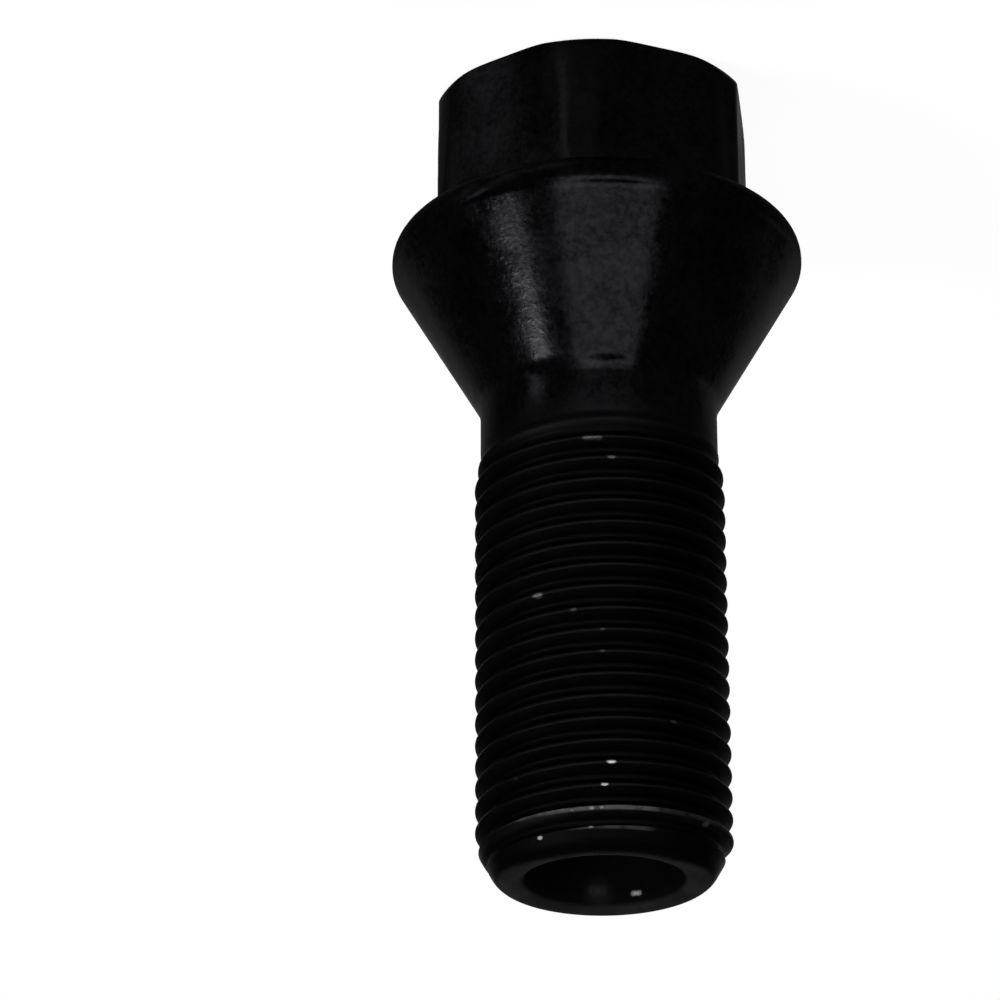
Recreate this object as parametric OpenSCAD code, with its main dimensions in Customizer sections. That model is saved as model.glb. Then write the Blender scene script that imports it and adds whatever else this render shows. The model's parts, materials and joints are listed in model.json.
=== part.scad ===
// Wheel bolt: a hexagon head, a round flange, a conical seat and a cupped point.
// The real bolt is forged and turned as one piece, so it is one solid.
// It stands on its head: Z = 0 is the head's top face, and +Z runs along the
// axis to the point. Two of the six corners lie on the Y axis. Millimetres.

/* [Head] */
// Hexagon across its flats
hex_af = 17; // [14:0.1:19]
// Round of each of the six corners
hex_corner_r = 1.6; // [0.5:0.1:4]
// Height of the hexagon, from the top face to the flange's shoulder
hex_h = 8.5; // [5:0.1:14]
// Diameter to which the six corners are drawn in at the top face
crown_d = 18.5; // [17.2:0.1:19]
// Angle of the drawn-in corners from the top face
crown_angle = 88; // [45:1:89]
// Round from the drawn-in corners to the top face
crown_r = 0.9; // [0.1:0.05:1.2]

/* [Flange] */
// Largest diameter of the flange
flange_d = 23.2; // [21:0.1:28]
// Round from the shoulder to the rim, on the hexagon's side
shoulder_r = 1.4; // [0.3:0.1:1.8]
// Straight band between the rim's two rounds
rim_land = 0.1; // [0.05:0.05:1.5]
// Round from the rim to the seat
rim_r = 1.25; // [0.2:0.05:2]

/* [Seat] */
// Full angle of the conical seat
seat_angle = 60; // [50:1:75]
// Fillet at the foot of the seat
foot_r = 2.2; // [0.5:0.1:4]

/* [Shank] */
// Length from the foot of the seat to the end of the point
shank_l = 27.8; // [22:0.1:45]
// Diameter of the plain neck, which is the thread's pitch diameter
neck_d = 13.2; // [12.2:0.05:13.6]
// Length of the neck, from the foot of the seat to the thread's run-out
neck_l = 2.7; // [1.5:0.1:8]
// Length over which the thread runs out
runout_l = 2; // [0.5:0.1:4]
// Outside diameter of the thread
thread_d = 13.86; // [13.7:0.01:14.6]

/* [Point] */
// Full angle of the cone that leads the thread in
point_angle = 60; // [40:1:90]
// Round between that cone and the end of the point
nose_r = 1.2; // [0.4:0.05:1.8]
// Flat ring left at the end of the point
lip_land = 0.05; // [0.02:0.01:0.3]
// Round at the mouth of the cup
lip_r = 0.9; // [0.2:0.05:1.1]
// Diameter of the cup
cup_d = 8.2; // [4:0.1:8.6]
// Depth of the cup's wall, from the end of the point
cup_depth = 3.6; // [1.5:0.1:10]
// Full angle of the cup's conical floor
cup_floor_angle = 120; // [90:1:170]

/* [Hidden] */
$fn = 128;
// Straight steps that make up one rounded edge
arc_steps = 8;
finish_rgb = [0.13, 0.13, 0.15];

neck_radius = neck_d / 2;
thread_radius = thread_d / 2;
flange_radius = flange_d / 2;
crown_radius = crown_d / 2;

// Centre of a corner's round, from the axis
corner_centre = (hex_af / 2 - hex_corner_r) / cos(30);

// Stations along the axis, from the top face to the end of the point
shoulder_z = hex_h;
rim_z = shoulder_z + shoulder_r + rim_land;
seat_half = seat_angle / 2;
seat_start_radius = flange_radius - rim_r * (1 - cos(seat_half));
seat_start_z = rim_z + rim_r * sin(seat_half);
foot_z = seat_start_z + (seat_start_radius - neck_radius) / tan(seat_half);
runout_z = foot_z + neck_l;
thread_z = runout_z + runout_l;
end_z = foot_z + shank_l;

// Point: the nose's round sits outside the lip, and the cone is tangent to it
point_half = point_angle / 2;
cup_radius = cup_d / 2;
lip_centre = cup_radius + lip_r;
nose_centre = lip_centre + lip_land;
point_radius = nose_centre + nose_r * tan((90 - point_half) / 2);
point_z = end_z - (thread_radius - point_radius) / tan(point_half);
cup_floor_z = end_z - cup_depth - cup_radius / tan(cup_floor_angle / 2);

// Points along an arc, with angles counted from the outward direction towards +Z
function arc(centre, radius, from, to) = [
    for (step = [0:arc_steps])
        let (angle = from + (to - from) * step / arc_steps)
            centre + radius * [cos(angle), sin(angle)]
];

// Six rounded corners, the first of them 30 degrees from the X axis
function hexagon() = [
    for (corner = [30:60:330])
        each arc(corner_centre * [cos(corner), sin(corner)], hex_corner_r, corner - 30, corner + 30)
];

// Half section of everything that is round, from the shoulder to the cup's floor
function body_section() = concat(
    [[0, shoulder_z]],
    arc([flange_radius - shoulder_r, shoulder_z + shoulder_r], shoulder_r, -90, 0),
    arc([flange_radius - rim_r, rim_z], rim_r, 0, seat_half),
    arc([neck_radius + foot_r, foot_z + foot_r * tan(seat_half / 2)], foot_r, 180 + seat_half, 180),
    [[neck_radius, runout_z], [thread_radius, thread_z], [thread_radius, point_z]],
    arc([nose_centre, end_z - nose_r], nose_r, point_half, 90),
    arc([lip_centre, end_z - lip_r], lip_r, 90, 180),
    [[cup_radius, end_z - cup_depth], [0, cup_floor_z]]
);

// Half section of the crown: the top face, its round and the cone that draws the corners in
function crown_section() = concat(
    [[0, 0]],
    arc([crown_radius - crown_r * tan(crown_angle / 2), crown_r], crown_r, -90, crown_angle - 90),
    [[crown_radius + rim_z / tan(crown_angle), rim_z], [0, rim_z]]
);

// Hexagon, rooted inside the flange, with its corners drawn in towards the top face
module hexagon_head() {
    intersection() {
        linear_extrude(height = rim_z)
            polygon(hexagon());
        rotate_extrude()
            polygon(crown_section());
    }
}

// Flange, seat, neck, threaded length and cupped point in one turn
module turned_body() {
    rotate_extrude()
        polygon(body_section());
}

module wheel_bolt() {
    color(finish_rgb)
        union() {
            hexagon_head();
            turned_body();
        }
}

wheel_bolt();
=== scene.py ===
# %% [markdown]
# # A black wheel bolt, standing on its head
#
# The object is one forged and turned piece of steel: a hexagon head, a round flange, a
# conical seat, a plain neck, a rolled thread and a cupped point. The imported model holds
# it as one solid with a plain cylinder where the thread is. This script keeps the
# solid's sizes, cuts the real helix into the shank, and gives the steel its black coat.
#
# The first cell loads the imported model.

# %% Load the frame
import json
import math

import bmesh
import bpy
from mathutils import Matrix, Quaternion, Vector

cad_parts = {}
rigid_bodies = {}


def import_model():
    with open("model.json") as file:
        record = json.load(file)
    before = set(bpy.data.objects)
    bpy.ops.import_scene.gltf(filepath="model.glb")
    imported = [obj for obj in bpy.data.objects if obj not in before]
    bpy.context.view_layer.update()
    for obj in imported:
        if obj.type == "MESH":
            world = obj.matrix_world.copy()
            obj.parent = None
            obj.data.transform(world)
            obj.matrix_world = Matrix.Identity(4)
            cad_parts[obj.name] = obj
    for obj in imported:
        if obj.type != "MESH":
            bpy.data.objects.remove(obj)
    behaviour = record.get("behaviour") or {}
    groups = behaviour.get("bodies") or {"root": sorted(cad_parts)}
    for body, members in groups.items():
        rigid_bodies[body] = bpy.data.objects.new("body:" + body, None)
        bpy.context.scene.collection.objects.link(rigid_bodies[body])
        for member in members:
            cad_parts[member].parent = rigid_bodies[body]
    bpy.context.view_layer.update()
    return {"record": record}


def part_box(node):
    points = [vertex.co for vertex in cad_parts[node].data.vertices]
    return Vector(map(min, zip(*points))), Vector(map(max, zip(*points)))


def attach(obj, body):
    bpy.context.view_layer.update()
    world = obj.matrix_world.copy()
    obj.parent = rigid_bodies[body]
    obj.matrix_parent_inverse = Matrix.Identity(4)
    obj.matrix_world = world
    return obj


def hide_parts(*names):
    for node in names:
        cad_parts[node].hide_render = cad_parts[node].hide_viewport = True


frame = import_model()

# %% [markdown]
# ## Sizes
#
# Blender works in metres and a bolt is drawn in millimetres, so every size is written
# as a number of MM. The thread's diameter and the hexagon's width are read from the
# model's mounts, and the overall height from its box, so they can't drift away from the
# solid. The rest are the drawing's own sizes. A name that ends in R is a radius, one
# that ends in Z a height, and one that ends in HALF the angle between a slope and the
# axis.

# %% Sizes read from the model
MM = 0.001
mounts = {mount["name"]: mount for mount in frame["record"]["mounts"]}
THREAD_R = mounts["thread"]["dims"]["r_mm"] * MM
HEX_APOTHEM = mounts["spanner_flat_right"]["pos_m"][0]
POINT_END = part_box("wheel_bolt")[1].z
print("thread radius %.2f mm, hexagon %.1f mm, height %.2f mm"
      % (THREAD_R / MM, 2 * HEX_APOTHEM / MM, POINT_END / MM))

# %% Sizes from the drawing
HEX_CORNER_R = 1.6 * MM
HEX_H = 8.5 * MM
CROWN_R = 9.25 * MM
CROWN_ROUND = 0.9 * MM
CROWN_SLOPE = math.radians(88)
FLANGE_R = 11.6 * MM
SHOULDER_ROUND = 1.4 * MM
RIM_LAND = 0.1 * MM
RIM_ROUND = 1.25 * MM
SEAT_HALF = math.radians(30)
FOOT_ROUND = 2.2 * MM
NECK_R = 6.6 * MM
POINT_HALF = math.radians(30)
NOSE_ROUND = 1.2 * MM
LIP_LAND = 0.05 * MM
LIP_ROUND = 0.9 * MM
CUP_R = 4.1 * MM
CUP_DEPTH = 3.6 * MM
CUP_FLOOR_HALF = math.radians(60)

RIM_Z = HEX_H + SHOULDER_ROUND + RIM_LAND
SEAT_TOP_R = FLANGE_R - RIM_ROUND * (1 - math.cos(SEAT_HALF))
FOOT_Z = RIM_Z + RIM_ROUND * math.sin(SEAT_HALF) + (SEAT_TOP_R - NECK_R) / math.tan(SEAT_HALF)
LIP_CENTRE = CUP_R + LIP_ROUND
NOSE_CENTRE = LIP_CENTRE + LIP_LAND
POINT_R = NOSE_CENTRE + NOSE_ROUND * math.tan((math.pi / 2 - POINT_HALF) / 2)
print("flange's widest circle at %.2f mm, seat's foot at %.2f mm" % (RIM_Z / MM, FOOT_Z / MM))

# %% [markdown]
# ## The camera
#
# The bolt stands on its head with the thread up, but it was pictured the other way up:
# the picture is a view from above, turned by half a turn. A long lens from about a
# quarter of a metre keeps the perspective weak. The camera comes first, because
# every later choice is judged through it.
#
# A direction is given in the same way all through the script: so many degrees round
# from the front towards +X, and so many up from the floor.

# %% Camera
LENS = 156.1
SENSOR = 36.0
AIM = Vector((5.465, -0.865, 24.458)) * MM
DISTANCE = 240 * MM
AZIMUTH = -6.48
ELEVATION = 23.77
ROLL = 179.82


def towards(azimuth, elevation):
    """The direction from the bolt that lies so many degrees round and so many up."""
    a, e = math.radians(azimuth), math.radians(elevation)
    return Vector((math.sin(a) * math.cos(e), -math.cos(a) * math.cos(e), math.sin(e)))


def in_scene(name, data):
    """Puts a mesh, a lamp or a camera in the scene as an object."""
    made = bpy.data.objects.new(name, data)
    bpy.context.scene.collection.objects.link(made)
    return made


backwards = towards(AZIMUTH, ELEVATION)
camera = in_scene("camera", bpy.data.cameras.new("camera"))
camera.data.lens = LENS
camera.data.sensor_width = SENSOR
camera.data.clip_start = 0.01
camera.data.clip_end = 20
camera.location = AIM + DISTANCE * backwards
camera.rotation_mode = "QUATERNION"
camera.rotation_quaternion = ((-backwards).to_track_quat("-Z", "Y")
                              @ Quaternion((0, 0, 1), math.radians(ROLL)))
bpy.context.scene.camera = camera
print("camera at", tuple(round(v / MM, 1) for v in camera.location), "mm")

# %% [markdown]
# ## The turned part
#
# Everything but the hexagon is round, so it is half a section spun about the axis. The
# section is a short list of radius and height, with each rounded edge as an arc. The
# spin makes 192 steps, a number that divides by six, so that the hexagon can later meet
# the flange vertex for vertex.

# %% Half sections
STEPS = 192
ARC_STEPS = 10
RIM_STEPS = 6


def arc(centre_r, centre_z, radius, start, end, steps=ARC_STEPS):
    """Radius and height along an arc, angles in degrees from outwards towards +Z."""
    angles = [math.radians(start + (end - start) * k / steps) for k in range(steps + 1)]
    return [(centre_r + radius * math.cos(a), centre_z + radius * math.sin(a)) for a in angles]


half_deg = math.degrees(SEAT_HALF)
seat_section = (
    arc(FLANGE_R - SHOULDER_ROUND, HEX_H + SHOULDER_ROUND, SHOULDER_ROUND, -90, 0)
    + arc(FLANGE_R - RIM_ROUND, RIM_Z, RIM_ROUND, 0, half_deg, RIM_STEPS)
    + arc(NECK_R + FOOT_ROUND, FOOT_Z + FOOT_ROUND * math.tan(SEAT_HALF / 2), FOOT_ROUND,
          180 + half_deg, 180)
)
nose_section = (
    arc(NOSE_CENTRE, POINT_END - NOSE_ROUND, NOSE_ROUND, math.degrees(POINT_HALF), 90)
    + arc(LIP_CENTRE, POINT_END - LIP_ROUND, LIP_ROUND, 90, 180)
    + [(CUP_R, POINT_END - CUP_DEPTH),
       (0, POINT_END - CUP_DEPTH - CUP_R / math.tan(CUP_FLOOR_HALF))]
)
print("half sections: %d points for the seat, %d for the nose"
      % (len(seat_section), len(nose_section)))

# %% Spinning a section


def add_line(bm, points):
    """Adds points given as radius and height, joined by edges, in the plane Y = 0."""
    verts = [bm.verts.new((r, 0, z)) for r, z in points]
    edges = [bm.edges.new(pair) for pair in zip(verts, verts[1:])]
    return verts + edges


def spin_full(bm, points):
    """Spins a half section once round the axis and closes it on itself."""
    bmesh.ops.spin(bm, geom=add_line(bm, points), cent=(0, 0, 0), axis=(0, 0, 1),
                   angle=2 * math.pi, steps=STEPS, use_merge=True)


# %% [markdown]
# ## The thread
#
# A thread of this kind is rolled: two dies press the grooves into the bar, and the steel
# rises between them. So both its crests and its roots are round, and the root has the
# wider round of the two. Each flank leans by 30 degrees.
#
# The thread is one pitch of that profile, spun with a rise of one pitch a turn. The top
# of each turn then falls on the bottom of the next, and merging the doubled vertices
# makes one continuous helix whose crests and roots are rows of the mesh. Cutting the
# grooves out of a cylinder would work too, but it leaves slivers along every edge.

# %% Profile of one pitch
PITCH = 1.25 * MM
FLANK_HALF = math.radians(30)
CREST_FLAT = PITCH / 8
CREST_ROUND = 0.12 * MM
CREST_STEPS = 3
GROOVE_ROUND = 0.20 * PITCH
GROOVE_STEPS = 4
SHARP_DEPTH = 7 / 8 * PITCH * math.cos(FLANK_HALF)
ROOT_R = THREAD_R - SHARP_DEPTH + GROOVE_ROUND


def pitch_profile():
    """Radius and height over one pitch, from the middle of one root to that of the next."""
    turn = 90 - math.degrees(FLANK_HALF)
    rise = PITCH / 2 - CREST_FLAT / 2 + CREST_ROUND * math.tan(math.radians(turn) / 2)
    root = arc(ROOT_R + GROOVE_ROUND, 0, GROOVE_ROUND, 180, 180 - turn, GROOVE_STEPS)
    crest = arc(THREAD_R - CREST_ROUND, rise, CREST_ROUND, -turn, 0, CREST_STEPS)
    flank = [tuple((a + b) / 2 for a, b in zip(root[-1], crest[0]))]
    lower = root + flank + crest
    upper = [(r, PITCH - z) for r, z in reversed(lower)]
    return lower + [(THREAD_R, PITCH / 2)] + upper


print("thread profile:", len(pitch_profile()), "points a pitch, root radius %.3f mm" % (ROOT_R / MM))

# %% [markdown]
# ## Knocks and painted glints on the crests
#
# Bolts are tipped into barrels and boxes, and the crests of the thread take the knocks.
# Each knock is a shallow dent, lower than it is wide, and its steel is bare, so it shows
# as a bright speck. Some of the specks are painted glints of a lamp rather than knocks:
# they get the same dent and bare steel, each as bright as its glint. A speck is placed as
# one would point it out on the bolt: so far round the axis, and on that turn of the
# crest. Its height follows from where the crest crosses +X. The mesh and the coat both
# read this list.

# %% Knocks and painted glints
CREST_ON_X = 25.192 * MM
KNOCK_DEPTH = 0.03 * MM
KNOCK_LOWNESS = 1.8
LOWERED = Vector((1, 1, KNOCK_LOWNESS))
# Each knock or painted glint on the thread: its angle about the axis from +X in degrees,
# the turn of the crest, its half width in millimetres, and how far it is worn to bare
# steel, which sets how bright its glint is.
KNOCKS_AND_GLINTS = (
    (261.4, 12.98, 0.34, 1.00), (264.5, 13.98, 0.28, 0.80), (297.6, 15.78, 0.24, 0.45),
    (270.3, 15.0, 0.22, 0.30), (266.0, 15.0, 0.18, 0.24), (271.3, 15.65, 0.24, 0.35),
    (259.4, -1.0, 0.32, 0.14), (294.4, 5.05, 0.44, 0.18), (265.2, -1.9, 0.36, 0.12),
    (270.5, -1.95, 0.36, 0.11), (267.8, -1.92, 0.32, 0.11), (279.1, 15.0, 0.18, 0.10),
    (249.3, 14.95, 0.18, 0.09), (246.8, 15.55, 0.24, 0.28), (212.0, 15.2, 0.42, 0.10),
    (277.3, 6.0, 0.26, 0.08), (264.6, 8.0, 0.22, 0.05), (264.5, 7.0, 0.22, 0.05),
    (232.2, 11.0, 0.30, 0.06), (307.1, 13.1, 0.22, 0.03), (21.7, 3.0, 0.24, 0.20),
    (56.7, 9.0, 0.20, 0.10), (111.7, 12.0, 0.28, 0.30), (161.7, 6.0, 0.20, 0.15),
    (341.7, 14.0, 0.24, 0.20),
)


def point_cone(z):
    """Radius of the lead-in cone at a height."""
    return POINT_R + (POINT_END - z) * math.tan(POINT_HALF)


def on_crest(angle, turn):
    """The point of the thread's crest at an angle in degrees and a turn."""
    a = math.radians(angle)
    z = CREST_ON_X + PITCH * (angle / 360 + turn)
    reach = min(THREAD_R, point_cone(z))
    return Vector((reach * math.cos(a), reach * math.sin(a), z))


knocks_and_glints = [(on_crest(angle, turn), width * MM, shine) for angle, turn, width, shine in KNOCKS_AND_GLINTS]
print("knocks:", len(knocks_and_glints))


def dent_depth(co):
    """How far a knock has pushed the crest in at a point."""
    for spot, width, _ in knocks_and_glints:
        away = ((co - spot) * LOWERED).length / width
        if away < 1:
            return KNOCK_DEPTH * (1 - away * away) ** 2
    return 0.0


# %% [markdown]
# ## The ends of the thread
#
# The spin runs past both ends of the threaded length. There each vertex is brought
# back: the form fades into the neck over the run-out, the lead-in cone trims the crests
# near the point, and whatever lies past the end is drawn together into one ring, which
# the turned part's own ring meets.

# %% Helix
RUNOUT_START = 21.5 * MM
RUNOUT_END = 24.0 * MM
LOW_RING_Z = 21.1 * MM
HIGH_RING_Z = POINT_END - NOSE_ROUND * (1 - math.sin(POINT_HALF))


def smooth(value, low, high):
    """Rises from 0 at low to 1 at high, with level ends."""
    t = min(max((value - low) / (high - low), 0), 1)
    return t * t * (3 - 2 * t)


def shaped(co):
    """Fades the form into the neck, trims it to the cone, and draws in what runs past an end."""
    z = min(max(co.z, LOW_RING_Z), HIGH_RING_Z)
    radius = math.hypot(co.x, co.y)
    formed = NECK_R + (radius - NECK_R) * smooth(z, RUNOUT_START, RUNOUT_END)
    wanted = min(formed, point_cone(z)) - dent_depth(co)
    return Vector((co.x * wanted / radius, co.y * wanted / radius, z))


def add_thread(bm):
    """Spins one turn of the helix, repeats it along the shank and shapes both of its ends."""
    first_root = CREST_ON_X - PITCH / 2
    start = first_root - PITCH * math.ceil((first_root + PITCH - LOW_RING_Z) / PITCH)
    turns = math.ceil((HIGH_RING_Z - start) / PITCH)
    before = set(bm.verts)
    line = add_line(bm, [(r, z + start) for r, z in pitch_profile()])
    bmesh.ops.spin(bm, geom=line, cent=(0, 0, 0), axis=(0, 0, 1), dvec=(0, 0, PITCH / STEPS),
                   angle=2 * math.pi, steps=STEPS)
    turn = [v for v in bm.verts if v not in before]
    faces = list(dict.fromkeys(f for v in turn for f in v.link_faces))
    for k in range(1, turns):
        copied = bmesh.ops.duplicate(bm, geom=turn + faces)["geom"]
        moved = [item for item in copied if isinstance(item, bmesh.types.BMVert)]
        bmesh.ops.translate(bm, verts=moved, vec=(0, 0, PITCH * k))
    for vert in bm.verts:
        if vert not in before:
            vert.co = shaped(vert.co)
    print("thread: %d turns from %.3f mm" % (turns, start / MM))


# %% [markdown]
# ## The hexagon
#
# A forged head has no knife edges. Its six corners are rounded, the die draws them in a
# little towards the top face, and there they roll over in a small round that fades out
# towards the middle of each flat. It could be a bevelled prism, but bevels don't follow
# an edge that fades out like that.
#
# So the outline comes first: a hexagon whose corners are bevelled and whose flats are
# cut into strips. That ring is pushed inwards again and again, and each new ring is
# placed by a small drawing of the head's section, which depends only on how far the
# outline is from the axis there. The drawing is walked in even steps in which a turn
# counts as well as a length, so that most of the rings gather where the form bends.

# %% Section of the head
EDGE_ROUND = 0.15 * MM
ROOT_FILLET = 0.35 * MM
CROWN_INNER_R = 7.8 * MM
ROOT_STEPS = 4
SIDE_STEPS = 20
CROWN_STEPS = 24
BEND_WEIGHT = 10 * MM
crown_flat_r = CROWN_R - CROWN_ROUND * math.tan(CROWN_SLOPE / 2)
corner_reach = CROWN_R + (HEX_H - 2 * ROOT_FILLET) / math.tan(CROWN_SLOPE)


def crown_height(radius):
    """Height of the crown above the top face: level in the middle, a round, then steep."""
    into = radius - crown_flat_r
    if into <= 0:
        return 0.0
    if into < CROWN_ROUND * math.sin(CROWN_SLOPE):
        return CROWN_ROUND - math.sqrt(CROWN_ROUND ** 2 - into ** 2)
    return (radius - CROWN_R) * math.tan(CROWN_SLOPE)


def side_and_crown(side):
    """Radius and height up a side that far out, round its edge and in over the crown."""
    corner = crown_height(side)
    slope = math.atan2(corner - crown_height(side - EDGE_ROUND), EDGE_ROUND)
    turn = math.pi / 2 - slope
    edge = arc(side - EDGE_ROUND, corner + EDGE_ROUND * math.tan(turn / 2), EDGE_ROUND,
               0, -math.degrees(turn))
    fine = [crown_flat_r + CROWN_ROUND * math.sin(CROWN_SLOPE * k / CROWN_STEPS)
            for k in range(CROWN_STEPS, -1, -1)]
    crown = [(r, crown_height(r)) for r in fine + [CROWN_INNER_R] if r < edge[-1][0]]
    return [(side, HEX_H - ROOT_FILLET)] + edge + crown


def walked(points, count):
    """Points in even steps along a line, where a turn counts as a length."""
    ways = [Vector(b) - Vector(a) for a, b in zip(points, points[1:])]
    turns = [0.0] + [a.angle(b, 0.0) for a, b in zip(ways, ways[1:])] + [0.0]
    costs = [way.length + BEND_WEIGHT * (turns[k] + turns[k + 1]) / 2 for k, way in enumerate(ways)]
    found = [points[0]]
    gone, piece = 0.0, 0
    for step in range(1, count):
        wanted = sum(costs) * step / count
        while gone + costs[piece] < wanted:
            gone += costs[piece]
            piece += 1
        found.append(tuple(Vector(points[piece]) + ways[piece] * (wanted - gone) / costs[piece]))
    return found + [points[-1]]


def head_section(side):
    """Radius and height down the head, from the flange to the crown, for a side that far out."""
    root = arc(side + ROOT_FILLET, HEX_H - ROOT_FILLET, ROOT_FILLET, 90, 180, ROOT_STEPS)
    return root + walked(side_and_crown(side), SIDE_STEPS)[1:]


print("head's section:", len(head_section(HEX_APOTHEM)), "points a side")

# %% Hexagon head
FLAT_STRIPS = 24
CORNER_STEPS = 8


def mesh_of(bm, name):
    """Makes a mesh of a finished bmesh."""
    mesh = bpy.data.meshes.new(name)
    bm.to_mesh(mesh)
    bm.free()
    return mesh


def pushed_ring(bm, edges):
    """Extrudes a ring of edges in place and returns the new ring's vertices and edges."""
    made = bmesh.ops.extrude_edge_only(bm, edges=edges)["geom"]
    verts = {item for item in made if isinstance(item, bmesh.types.BMVert)}
    return verts, [item for item in made if isinstance(item, bmesh.types.BMEdge)
                   and set(item.verts) <= verts]


def hexagon_mesh():
    """The head's six sides and its crown, open where it meets the flange."""
    bm = bmesh.new()
    bmesh.ops.create_circle(bm, cap_ends=True, segments=6,
                            radius=HEX_APOTHEM / math.cos(math.radians(30)))
    bmesh.ops.bevel(bm, geom=list(bm.verts), affect="VERTICES", segments=CORNER_STEPS, profile=0.5,
                    offset=HEX_CORNER_R * math.tan(math.radians(30)), material=-1)
    bmesh.ops.delete(bm, geom=list(bm.faces), context="FACES_ONLY")
    flats = [e for e in bm.edges if e.calc_length() > HEX_CORNER_R]
    bmesh.ops.subdivide_edges(bm, edges=flats, cuts=FLAT_STRIPS - 1)
    print("head's outline:", len(bm.verts), "points")
    ring, edges = set(bm.verts), list(bm.edges)
    sides = {v: min(v.co.length, corner_reach) for v in ring}
    sections = {side: head_section(side) for side in sides.values()}
    for k in range(len(head_section(HEX_APOTHEM))):
        if k:
            before = {v.co.to_tuple(7): sides[v] for v in ring}
            ring, edges = pushed_ring(bm, edges)
            sides = {v: before[v.co.to_tuple(7)] for v in ring}
        for vert in ring:
            radius, height = sections[sides[vert]][k]
            vert.co.xy *= radius / vert.co.xy.length
            vert.co.z = height
    bmesh.ops.contextual_create(bm, geom=edges)
    return mesh_of(bm, "hexagon")


# %% [markdown]
# ## One mesh
#
# The forms are put in one mesh, the doubled rings are merged, and the hexagon's open
# edge is bridged to the ring where the flange's shoulder starts to turn. Both have 192
# vertices, so the shoulder comes out as a fan of plain quads. The two rings lie in one
# plane, and there the bridge can't tell which way round they run, so the head is
# lowered a little first and put back afterwards. The volume printed below shows it: a
# twisted bridge halves it.
#
# A die never closes quite true to the bar, so the head goes back a tenth of a
# millimetre to one side of the axis.

# %% Join the forms
APART = 2 * MM
OFF_AXIS = 0.09 * MM
SAME_PLACE = MM / 1000
bm = bmesh.new()
spin_full(bm, seat_section + [(NECK_R, LOW_RING_Z)])
spin_full(bm, nose_section)
add_thread(bm)
bmesh.ops.remove_doubles(bm, verts=bm.verts, dist=SAME_PLACE)
turned = set(bm.verts)
bm.from_mesh(hexagon_mesh())
head = [v for v in bm.verts if v not in turned]
bmesh.ops.translate(bm, verts=head, vec=(0, 0, -APART))
bmesh.ops.bridge_loops(bm, edges=[e for e in bm.edges if e.is_boundary])
bmesh.ops.translate(bm, verts=head, vec=(OFF_AXIS, 0, APART))
bmesh.ops.recalc_face_normals(bm, faces=bm.faces)
print("open edges left: %d, volume %.1f mm3"
      % (sum(e.is_boundary for e in bm.edges), bm.calc_volume() / MM ** 3))
bolt_mesh = mesh_of(bm, "forged_bolt")

# %% The bolt's object
SHARP = math.radians(32)
bolt = in_scene("forged_bolt", bolt_mesh)
bolt_mesh.shade_smooth()
bolt_mesh.set_sharp_from_angle(angle=SHARP)
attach(bolt, "root")
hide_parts("wheel_bolt")
print("triangles:", sum(len(p.vertices) - 2 for p in bolt_mesh.polygons))

# %% [markdown]
# ## A way to write finishes
#
# A finish in Blender is a tree of nodes. Trees are easy to draw by hand and tiresome to
# write: three lines for every plus sign. Two small classes make them read like sums. A
# Signal wraps the output of a node, so that 1 - mask or 2 * grain adds the Math node by
# itself, and a Recipe adds any other node and plugs its sockets.
#
# Nearly every mask below is a rise or a window. A rise is 0 up to its first number and
# 1 from its second, and a window rises over its first two numbers and falls over its
# last two. So a soft edge is written as a tuple of two or four numbers.

# %% Signals and recipes


class Signal:
    """The output of a node, ready for sums."""

    def __init__(self, recipe, socket):
        self.recipe = recipe
        self.socket = socket

    def math(self, operation, first, second):
        """Adds a Math node for one step of a sum."""
        return self.recipe.node("ShaderNodeMath", {"operation": operation}, {0: first, 1: second})

    def __add__(self, other):
        return self.math("ADD", self, other)

    def __sub__(self, other):
        return self.math("SUBTRACT", self, other)

    def __rsub__(self, other):
        return self.math("SUBTRACT", other, self)

    def __mul__(self, other):
        return self.math("MULTIPLY", self, other)

    __radd__ = __add__
    __rmul__ = __mul__


class Recipe:
    """A node tree and the few steps that finishes are made of."""

    def __init__(self, tree):
        self.tree = tree

    def node(self, kind, settings, values, output=0):
        """Adds a node, sets it up, plugs its sockets, and returns one of its outputs."""
        node = self.tree.nodes.new(kind)
        for name, value in settings.items():
            setattr(node, name, value)
        self.plug(node, values)
        return Signal(self, node.outputs[output])

    def plug(self, node, values):
        """Gives sockets their values, or links them to signals."""
        for name, value in values.items():
            if isinstance(value, Signal):
                self.tree.links.new(value.socket, node.inputs[name])
            else:
                node.inputs[name].default_value = value

    def vector_math(self, operation, values, output=0):
        """Scales, multiplies or measures positions."""
        return self.node("ShaderNodeVectorMath", {"operation": operation}, values, output)

    def along(self, axis, vector):
        """How far a position lies along an axis."""
        return self.node("ShaderNodeSeparateXYZ", {}, {0: vector}, axis)

    def degrees_round(self, x, y):
        """The angle about the upright axis, in degrees from the front towards +X."""
        turn = self.node("ShaderNodeMath", {"operation": "ARCTAN2"}, {0: x, 1: -1 * y})
        return (180 / math.pi) * turn

    def rise(self, value, low, high):
        """0 below low, 1 above high and smooth between them."""
        return self.node("ShaderNodeMapRange", {"interpolation_type": "SMOOTHSTEP"},
                         {"Value": value, "From Min": low, "From Max": high})

    def window(self, value, opens, open_from, open_to, closes):
        """1 between the two middle values, 0 outside the outer two, smooth between."""
        return self.rise(value, opens, open_from) * (1 - self.rise(value, open_to, closes))

    def noise(self, where, cells, detail=2.0):
        """Soft random values with so many cells in each unit of the position."""
        return self.node("ShaderNodeTexNoise", {},
                         {"Vector": where, "Scale": cells, "Detail": detail}, "Fac")

    def blend(self, factor, first, second):
        """Mixes two colours."""
        return self.node("ShaderNodeMix", {"data_type": "RGBA"},
                         {0: factor, 6: first, 7: second}, 2)


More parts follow.
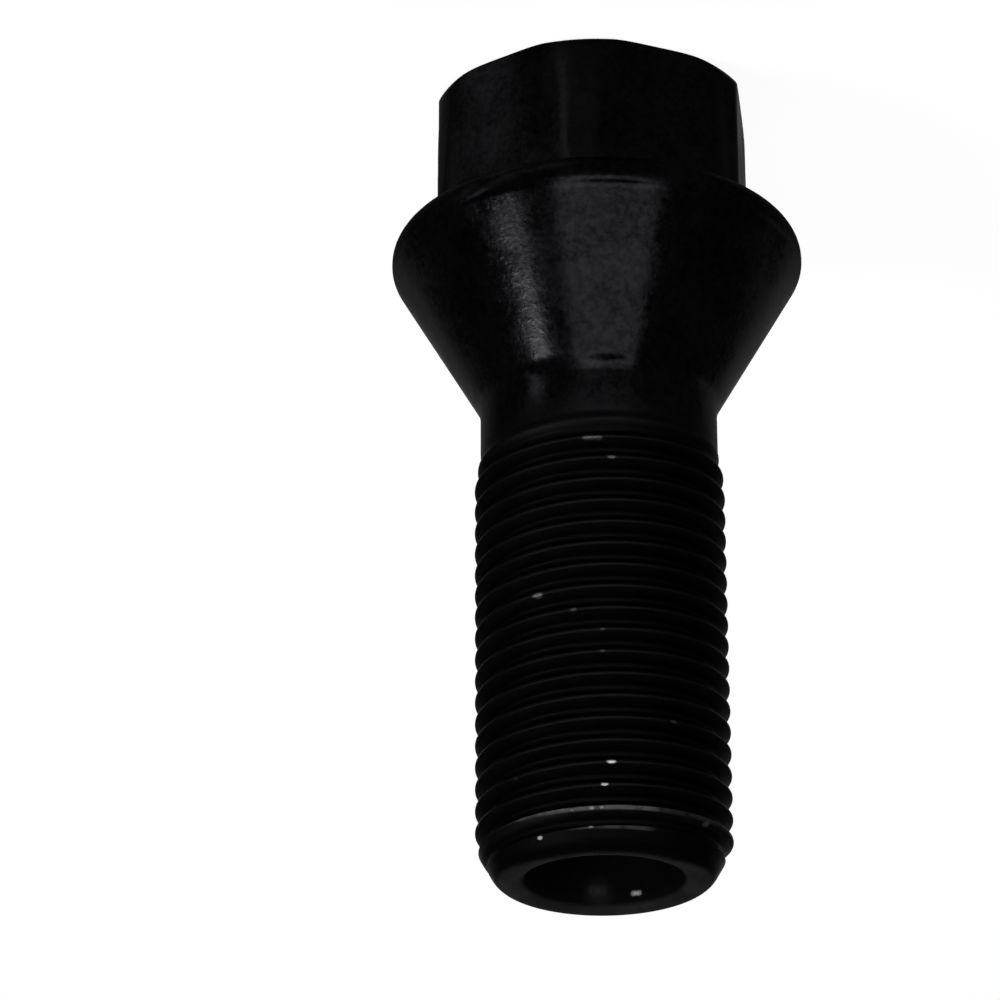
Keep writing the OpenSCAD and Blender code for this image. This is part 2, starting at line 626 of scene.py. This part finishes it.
def new_finish(name):
    """A new material, the recipe for its nodes, and its shader."""
    material = bpy.data.materials.new(name)
    material.use_nodes = True
    tree = material.node_tree
    return material, Recipe(tree), tree.nodes["Principled BSDF"]


# %% [markdown]
# ## The black coat
#
# The steel is phosphated and oiled: a thin dark skin on metal. The skin swallows nearly
# all of the light, and what is left is a mirror with a reflectance of half a percent, so
# the finish is a metal with an almost black colour.
#
# What one sees is mostly how the skin breaks up a reflection. Three noises do that: a
# fine crystal grain, flecks where parts rubbed against each other, and broad clouds
# where the oil lies thicker. Grain and flecks together make the skin mottled, and the
# clouds drift over it.
#
# All of it is worked out from the place on the bolt in millimetres, so 4 grains to the
# millimetre are just that, and nothing depends on how the mesh is cut. Most values of a
# noise are near 0.5, so the soft edges lie round it.

# %% Grain, flecks and clouds
GRAINS_PER_MM = 4.0
FLECKS_PER_MM = 2.2
CLOUDS_PER_MM = 0.45
GRAIN_EDGE = (0.36, 0.64)
FLECK_EDGE = (0.38, 0.62)
RUBBED_EDGE = (0.52, 0.70)
CLOUD_EDGE = (0.38, 0.66)
material, coat, shader = new_finish("black_steel")

place = coat.node("ShaderNodeTexCoord", {}, {}, "Object")
in_mm = coat.vector_math("SCALE", {0: place, "Scale": 1 / MM})
flat = coat.vector_math("MULTIPLY", {0: in_mm, 1: (1, 1, 0)})
radius = coat.vector_math("LENGTH", {0: flat}, "Value")
height = coat.along("Z", in_mm)
round_axis = coat.degrees_round(coat.along("X", in_mm), coat.along("Y", in_mm))

grain = coat.noise(in_mm, GRAINS_PER_MM)
flecks = coat.noise(in_mm, FLECKS_PER_MM, detail=4.0)
patches = coat.rise(coat.noise(in_mm, CLOUDS_PER_MM, detail=3.0), *CLOUD_EDGE)
rubbed = coat.rise(flecks, *RUBBED_EDGE)
mottled = 0.5 * coat.rise(grain, *GRAIN_EDGE) + 0.5 * coat.rise(flecks, *FLECK_EDGE)
print("coat: grain, flecks and clouds")

# %% [markdown]
# ## Where the coat differs
#
# Each place is a mask made of heights and radii in millimetres, or of degrees round the
# axis. The thread is duller than the rest, and its roots are darker: partly oil and dust
# that stay there, partly painted shade in the creases. The corners of the hexagon are
# rubbed a little lighter. Round the cup the end of the point is greyed in a ring, which
# is narrower at the front. The side towards +X is scuffed.

# %% Places
THREADED_HEIGHTS = (FOOT_Z / MM + 1.0, RUNOUT_START / MM + 1.0)
ROOT_RADII = (ROOT_R / MM + 0.10, ROOT_R / MM + 0.45)
HEX_CORNER_HEIGHTS = (7.6, 8.4)
HEX_CORNER_RADII = (9.10, 9.45)
END_HEIGHTS = (46.40, 46.65)
END_RING_RADII = (5.55, 6.05)
END_RING_NARROWED = 0.58
NARROWED_SIDE = (-95, -40, 25, 80)
CUP_RADII = (4.15, 4.60)
SCUFFED_SIDE = (12, 24, 80, 110)

threaded = coat.rise(height, *THREADED_HEIGHTS)
# The thread's roots, which get oil and painted shade.
in_root = threaded * (1 - coat.rise(radius, *ROOT_RADII))
hexagon_corner = ((1 - coat.rise(height, *HEX_CORNER_HEIGHTS))
                  * coat.rise(radius, *HEX_CORNER_RADII))
narrowed = END_RING_NARROWED * coat.window(round_axis, *NARROWED_SIDE)
end_ring = (coat.rise(height, *END_HEIGHTS)
            * (1 - coat.rise(radius + narrowed, *END_RING_RADII)))
in_cup = 1 - coat.rise(radius, *CUP_RADII)
scuffed_side = coat.window(round_axis, *SCUFFED_SIDE)
print("coat: dull and dark from %.1f mm up" % THREADED_HEIGHTS[1])

# %% [markdown]
# ## Bare steel and painted highlights
#
# The coat is thin, and an edge loses it first. The lead-in cone cuts through the last
# turns of the crest. The edge that it leaves is worn all round where the cut begins,
# and at the front also where it ends. Along the widest part of the seat, at the front,
# lies a faint painted highlight. The knocks on the crests, some of them painted glints,
# and a few painted highlights at the cup are bare in their middle and fade towards their
# rim. All of these add up in one mask, from 0 for coat to 1 for bare steel, which the
# painted highlights use too.

# %% Worn edges
LEAD_IN_SHINE = 0.18
CONE_SKIN = (0.02, 0.12)
FIRST_CREST_RADII = (THREAD_R / MM - 0.17, THREAD_R / MM - 0.07)
FIRST_CREST_SIDE = (-34, -22, 30, 44)
FAR_SIDE_SHARE = 0.25
LAST_CREST_RADII = (6.28, 6.32, 6.37, 6.42)
LAST_CREST_SIDE = (-32, -24, 4, 14)
LAST_CREST_SHARE = 0.3
# A faint painted highlight along the widest part of the seat, on its front side.
SEAT_EDGE_SHINE = 0.006
SEAT_EDGE_HEIGHTS = (10.5, 10.6, 10.72, 10.85)
SEAT_EDGE_SIDE = (-60, -25, 0, 25)
WEAR_PER_MM = 1.6
WEAR_EDGE = (0.38, 0.56)
LEAST_WEAR = 0.4

cone_r = (POINT_R + POINT_END * math.tan(POINT_HALF)) / MM - height * math.tan(POINT_HALF)
at_cone = 1 - coat.rise(cone_r - radius, *CONE_SKIN)
first_crest = coat.rise(radius, *FIRST_CREST_RADII)
first_side = FAR_SIDE_SHARE + (1 - FAR_SIDE_SHARE) * coat.window(round_axis, *FIRST_CREST_SIDE)
last_crest = coat.window(radius, *LAST_CREST_RADII)
last_side = coat.window(round_axis, *LAST_CREST_SIDE)
wear = coat.noise(in_mm, WEAR_PER_MM, detail=3.0)
unevenly = LEAST_WEAR + (1 - LEAST_WEAR) * coat.rise(wear, *WEAR_EDGE)
lead_in_edge = at_cone * unevenly * (first_crest * first_side
                                     + LAST_CREST_SHARE * last_crest * last_side)
# Painted highlight: a faint bright line on the seat's widest part, at the front.
painted_seat_highlight = (coat.window(height, *SEAT_EDGE_HEIGHTS) * unevenly
             * coat.window(round_axis, *SEAT_EDGE_SIDE))
bare_and_glints = LEAD_IN_SHINE * lead_in_edge + SEAT_EDGE_SHINE * painted_seat_highlight

# %% Knocks, painted glints and painted highlights at the cup
# The next two are shares of a knock's half width.
BARE_UP_TO = 0.3
COATED_FROM = 0.9
# Each painted highlight at the cup, three small glints and a broad grey blotch: its place
# and its half width in millimetres, and how bare it is.
CUP_PAINTED_HIGHLIGHTS = (((-1.20, 3.93, 46.00), 0.21, 0.60), ((-1.36, 3.87, 46.02), 0.20, 0.60),
             ((-1.52, 3.81, 46.03), 0.21, 0.60), ((0.95, 3.98, 45.75), 0.45, 0.035),
             ((0.55, 4.06, 45.75), 0.45, 0.030), ((0.70, 4.04, 45.80), 1.10, 0.018))


def distance_from(spot, position):
    """How far a position is from a spot."""
    return coat.vector_math("DISTANCE", {0: position, 1: spot}, "Value")


seen_low = coat.vector_math("MULTIPLY", {0: in_mm, 1: LOWERED})
# Knocks and painted glints on the crests, laid in as bare steel.
for spot, width, shine in knocks_and_glints:
    away = distance_from(spot / MM * LOWERED, seen_low)
    bare_and_glints = bare_and_glints + shine * (1 - coat.rise(away, BARE_UP_TO * width / MM, COATED_FROM * width / MM))
# Painted glints and a painted grey highlight on the cup's far wall, laid in as bare steel.
for spot, width, shine in CUP_PAINTED_HIGHLIGHTS:
    away = distance_from(spot, in_mm)
    bare_and_glints = bare_and_glints + shine * (1 - coat.rise(away, BARE_UP_TO * width, width))
print("bare steel: %d knocks and %d marks at the cup" % (len(knocks_and_glints), len(CUP_PAINTED_HIGHLIGHTS)))

# %% [markdown]
# ## Colour, dullness and pits
#
# The masks are now laid over each other like coats of paint, from the broad to the
# small, and each coat names its colour. The bare steel, with the painted glints and
# highlights, comes last, on top.
#
# A skin of crystals is rougher than it looks from straight on. Seen at a slant it
# spreads what it mirrors, so the sides of the bolt aren't outlined in white. Layer
# Weight gives that slant, and it makes the skin duller there, least on the head and not
# at all on the thread, which is dull anyway. The shader's edge tint dims the slant
# further. The pits are much smaller than the mesh, so a bump draws them, and on the
# scuffed side the rubbed flecks stand out as well.

# %% Colour of the coat
BLACK = (0.0026, 0.0026, 0.0030, 1)
OILY = (0.0090, 0.0088, 0.0098, 1)
THREAD_BLACK = (0.0055, 0.0055, 0.0060, 1)
# Oil and painted shade in the thread's roots.
ROOT_OIL_AND_SHADE = (0.0008, 0.0008, 0.0009, 1)
GREYED = (0.0310, 0.0300, 0.0320, 1)
# The colour of bare steel, also used for the painted glints and highlights.
BARE_STEEL_AND_GLINT = (0.46, 0.45, 0.47, 1)
PATCHES_SHARE = 0.4
MOTTLED_SHARE = 0.6
THREAD_SHARE = 0.8
ROOT_OIL_AND_SHADE_SHARE = 0.6
RING_SHARE = 0.6
RING_PATCHES_SHARE = 0.4
CUP_GREY = 0.08
CORNER_GREY = 0.22

colour = coat.blend(PATCHES_SHARE * patches + MOTTLED_SHARE * mottled, BLACK, OILY)
colour = coat.blend(THREAD_SHARE * threaded, colour, THREAD_BLACK)
colour = coat.blend(ROOT_OIL_AND_SHADE_SHARE * in_root, colour, ROOT_OIL_AND_SHADE)
colour = coat.blend(end_ring * (RING_SHARE + RING_PATCHES_SHARE * patches), colour, GREYED)
colour = coat.blend(CUP_GREY * in_cup + CORNER_GREY * hexagon_corner, colour, GREYED)
# Bare steel and painted highlights on top.
colour = coat.blend(coat.node("ShaderNodeClamp", {}, {"Value": bare_and_glints}), colour, BARE_STEEL_AND_GLINT)

# %% Dullness and pits
EDGE_TINT = 0.495
COAT_DULLNESS = 0.13
GRAIN_DULLNESS = 0.10
PATCHES_DULLNESS = 0.05
THREAD_DULLNESS = 0.34
RING_DULLNESS = 0.25
CUP_DULLNESS = 0.30
WORN_DULLNESS = 0.25
SLANT_EDGE = (0.35, 0.85)
SLANT_ON_HEAD = 0.11
SLANT_ADDED_PAST_HEAD = 0.23
PAST_HEAD_HEIGHTS = (HEX_H / MM - 0.4, HEX_H / MM + 0.2)
SCUFF_HEIGHT = 0.8
PIT_DEPTH = 0.005 * MM

slant = coat.node("ShaderNodeLayerWeight", {}, {"Blend": 0.5}, "Facing")
past_head = coat.rise(height, *PAST_HEAD_HEIGHTS)
slant_dullness = ((SLANT_ON_HEAD + SLANT_ADDED_PAST_HEAD * past_head)
                  * coat.rise(slant, *SLANT_EDGE) * (1 - threaded))
dullness = (COAT_DULLNESS + slant_dullness + GRAIN_DULLNESS * grain + PATCHES_DULLNESS * patches
            + THREAD_DULLNESS * threaded + RING_DULLNESS * end_ring
            + CUP_DULLNESS * in_cup * threaded + WORN_DULLNESS * lead_in_edge)
pitted = grain + SCUFF_HEIGHT * rubbed * scuffed_side
normal = coat.node("ShaderNodeBump", {},
                   {"Strength": 1.0, "Distance": PIT_DEPTH, "Height": pitted})
coat.plug(shader, {"Base Color": colour, "Metallic": 1.0, "Roughness": dullness,
                   "Normal": normal, "Specular Tint": (EDGE_TINT, EDGE_TINT, EDGE_TINT, 1)})
bolt_mesh.materials.append(material)
print("coat: %d nodes" % len(material.node_tree.nodes))

# %% [markdown]
# ## The floor
#
# The picture has a plain white ground. A white floor under fair lamps would come out
# light grey, and more light on it would also bleach the bolt. So the floor is a mix: to
# the camera most of it glows white by itself, and the rest is matt paint, which still
# takes the bolt's shadow.
#
# In the bolt's reflections the floor shows a painted glow in place of its paint, laid out
# as glossy white board would look. It is bright behind the bolt, where one sees it at a
# slant, but darker close to the bolt, as painted shade, and dim at the sides. In front it
# carries a painted reflection of the front box, weak from just past the bolt and full
# from some distance on.
#
# Towards +X it carries painted reflections of the strong lamp, glowing streaks that run
# away from the bolt: a near one and a corner one beside the bolt, and a far one past it.
# They light the flat and the corner of the hexagon that face them.

# %% Floor board
FLOOR_HALF = 2.0
PAINT = (0.85, 0.85, 0.85, 1)
PAINT_DULLNESS = 0.9
bm = bmesh.new()
bmesh.ops.create_grid(bm, x_segments=1, y_segments=1, size=FLOOR_HALF)
floor_mesh = mesh_of(bm, "floor")
floor = in_scene("floor", floor_mesh)
paint, ground, matt = new_finish("floor_paint")
ground.plug(matt, {"Base Color": PAINT, "Roughness": PAINT_DULLNESS})
print("floor: %.0f m square" % (2 * FLOOR_HALF))

# %% Places on the floor
BEHIND_ANGLES = (90, 130)
FRONT_ANGLES = (-42, -12, 4, 24)
SHADE = 0.12
SHADED_METRES = (0.020, 0.070)
PAST_BOLT_METRES = (0.030, 0.045)
FAR_METRES = (0.060, 0.090)

on_floor = ground.node("ShaderNodeTexCoord", {}, {}, "Object")
floor_x = ground.along("X", on_floor)
floor_y = ground.along("Y", on_floor)
distance = ground.vector_math("LENGTH", {0: on_floor}, "Value")
azimuth = ground.degrees_round(floor_x, floor_y)
sideways = ground.node("ShaderNodeMath", {"operation": "ABSOLUTE"}, {0: azimuth})
behind = ground.rise(sideways, *BEHIND_ANGLES)
in_front = ground.window(azimuth, *FRONT_ANGLES)
# Painted shade in the floor's glow close to the bolt.
shade = SHADE + (1 - SHADE) * ground.rise(distance, *SHADED_METRES)
past_bolt = ground.rise(distance, *PAST_BOLT_METRES)
far_off = ground.rise(distance, *FAR_METRES)

# %% Painted streaks on the floor
STREAK_AZIMUTH = math.radians(66.0)
NEAR_STREAK_MM = (-6.2, -4.6, -3.2, -1.8)
CORNER_STREAK_MM = (-15.0, -12.0, -9.6, -6.6)
FAR_STREAK_MM = (-15.0, -12.0, -9.0, -7.2)
NEAR_STREAK_GLOW = 0.82
CORNER_STREAK_GLOW = 0.52
FAR_STREAK_GLOW = 4.20
X_SIDE_METRES = (0.0, 0.004)


def painted_streak(edges_mm):
    """A painted streak of lamp reflection that runs away from the bolt, between edges measured across
    it.
    """
    across = math.cos(STREAK_AZIMUTH) * floor_x + math.sin(STREAK_AZIMUTH) * floor_y
    return ground.window(across, *[edge * MM for edge in edges_mm])


beside_bolt = (NEAR_STREAK_GLOW * painted_streak(NEAR_STREAK_MM)
               + CORNER_STREAK_GLOW * painted_streak(CORNER_STREAK_MM))
painted_streaks = ground.rise(floor_x, *X_SIDE_METRES) * (
    beside_bolt * (1 - past_bolt) + FAR_STREAK_GLOW * painted_streak(FAR_STREAK_MM) * past_bolt)

# %% What the camera and the bolt see of the floor
GLOW_SEEN = 0.85
SEEN_WHITE = 1.085
SIDE_GLOW = 0.28
BACK_GLOW = 1.35
NEAR_GLOW = 0.35
FAR_GLOW = 3.00

# The floor's glow in reflections: painted reflections of the lamps and the front box, and painted
# shade near the bolt.
painted_reflection_glow = (SIDE_GLOW + (BACK_GLOW * shade - SIDE_GLOW) * behind + painted_streaks
                 + in_front * (NEAR_GLOW * past_bolt + FAR_GLOW * far_off))
seen = ground.node("ShaderNodeLightPath", {}, {}, "Is Camera Ray")
mirrored = ground.node("ShaderNodeLightPath", {}, {}, "Is Glossy Ray")
glow_colour = ground.vector_math("SCALE", {0: (1, 1, 1),
                                           "Scale": SEEN_WHITE * seen + mirrored * painted_reflection_glow})
glow = ground.node("ShaderNodeEmission", {}, {"Color": glow_colour, "Strength": 1.0})
mixed = ground.node("ShaderNodeMixShader", {},
                    {0: GLOW_SEEN * seen + mirrored, 1: Signal(ground, matt.outputs[0]), 2: glow})
ground.plug(paint.node_tree.nodes["Material Output"], {"Surface": mixed})
floor_mesh.materials.append(paint)
print("floor paint: %d nodes" % len(paint.node_tree.nodes))

# %% [markdown]
# ## Light
#
# A black part is lit by what it mirrors, so each lamp is there for a mark that it draws.
# A small strong lamp towards +X draws the bright line down the seat and a glint on the
# crests of the thread. A broad soft box in front, a little towards -X, draws the grey
# band on the seat, and a weak one high up at the back brightens the rounds that face
# it. The rest of the room is dim, except for the lower part of the wall behind the
# bolt, which the bolt mirrors at half of white.
#
# Their directions were found by following the camera's rays to those marks, off the
# cone, and on to where the light must be.

# %% World
DIM = (0.2, 0.2, 0.2, 1)
WHITE = (1, 1, 1, 1)
WALL_GLOW = 0.5
WALL_BACKWARDS = (0.0, 0.5)
WALL_TOP = (0.05, 0.2)
world = bpy.data.worlds.new("studio")
bpy.context.scene.world = world
world.use_nodes = True
room = Recipe(world.node_tree)

direction = room.node("ShaderNodeTexCoord", {}, {}, "Generated")
back_wall = (room.rise(room.along("Y", direction), *WALL_BACKWARDS)
             * (1 - room.rise(room.along("Z", direction), *WALL_TOP)))
straight = room.node("ShaderNodeLightPath", {}, {}, "Is Camera Ray")
reflected = room.node("ShaderNodeLightPath", {}, {}, "Is Glossy Ray")
white_part = room.node("ShaderNodeClamp", {}, {"Value": straight + WALL_GLOW * reflected * back_wall})
room.plug(world.node_tree.nodes["Background"],
          {"Color": room.blend(white_part, DIM, WHITE), "Strength": 1.0})

# %% Lamps
LAMP_DISTANCE = 0.5
# Each lamp: its name, where it is in degrees round from the front and up, how wide and
# how tall it looks from the bolt in degrees, and its glow, where white paper is 1.
LAMPS = (("strip", 50.5, 33, 14, 14, 26.0),
         ("front_box", -11.5, 17.5, 53, 39, 3.3),
         ("back_box", 178, 50, 50, 20, 1.6))


def add_lamp(name, azimuth, elevation, wide, tall, glow):
    """A soft box that faces the bolt's middle."""
    lamp = in_scene(name, bpy.data.lights.new(name, "AREA"))
    lamp.data.shape = "RECTANGLE"
    lamp.data.size = 2 * LAMP_DISTANCE * math.tan(math.radians(wide / 2))
    lamp.data.size_y = 2 * LAMP_DISTANCE * math.tan(math.radians(tall / 2))
    lamp.data.energy = glow * math.pi * lamp.data.size * lamp.data.size_y
    away = towards(azimuth, elevation)
    lamp.location = Vector((0, 0, POINT_END / 2)) + away * LAMP_DISTANCE
    lamp.rotation_mode = "QUATERNION"
    lamp.rotation_quaternion = (-away).to_track_quat("-Z", "Y")
    lamp.visible_camera = False
    print("lamp %s: %.2f by %.2f m, %.2f W"
          % (name, lamp.data.size, lamp.data.size_y, lamp.data.energy))


for lamp_facts in LAMPS:
    add_lamp(*lamp_facts)

# %% [markdown]
# ## The camera's own body
#
# The camera and its lens stand between the bolt and the front box, and the seat mirrors
# them: its grey band is darker where they are. So a black plate with a round outline
# stands there. Only reflections see it, so it neither hides the bolt nor throws a
# shadow.

# %% Camera body
BODY_AZIMUTH = -13.7
BODY_ELEVATION = 15.5
BODY_DISTANCE = 230 * MM
BODY_FACES_Z = 19 * MM
BODY_HALF_WIDTH = 70 * MM
BODY_HALF_HEIGHT = 41 * MM
BODY_CORNERS = 48
BODY_BLACK = (0.02, 0.02, 0.02, 1)
BODY_DULLNESS = 0.8
bm = bmesh.new()
bmesh.ops.create_circle(bm, cap_ends=True, segments=BODY_CORNERS, radius=1.0)
bmesh.ops.scale(bm, verts=bm.verts, vec=(BODY_HALF_WIDTH, BODY_HALF_HEIGHT, 1))
body_mesh = mesh_of(bm, "camera_body")
body = in_scene("camera_body", body_mesh)
away = towards(BODY_AZIMUTH, BODY_ELEVATION)
body.location = Vector((0, 0, BODY_FACES_Z)) + away * BODY_DISTANCE
body.rotation_mode = "QUATERNION"
body.rotation_quaternion = (-away).to_track_quat("-Z", "Y")
body.visible_camera = False
body.visible_shadow = False
body.visible_diffuse = False
body_paint, body_recipe, body_shader = new_finish("camera_black")
body_recipe.plug(body_shader, {"Base Color": BODY_BLACK, "Roughness": BODY_DULLNESS})
body_mesh.materials.append(body_paint)
print("camera body: %.0f by %.0f mm" % (2 * BODY_HALF_WIDTH / MM, 2 * BODY_HALF_HEIGHT / MM))

# %% [markdown]
# ## The last cell
#
# The Standard view shows a colour about as it is written.

# %% Colour and the last line
bpy.context.scene.view_settings.view_transform = "Standard"
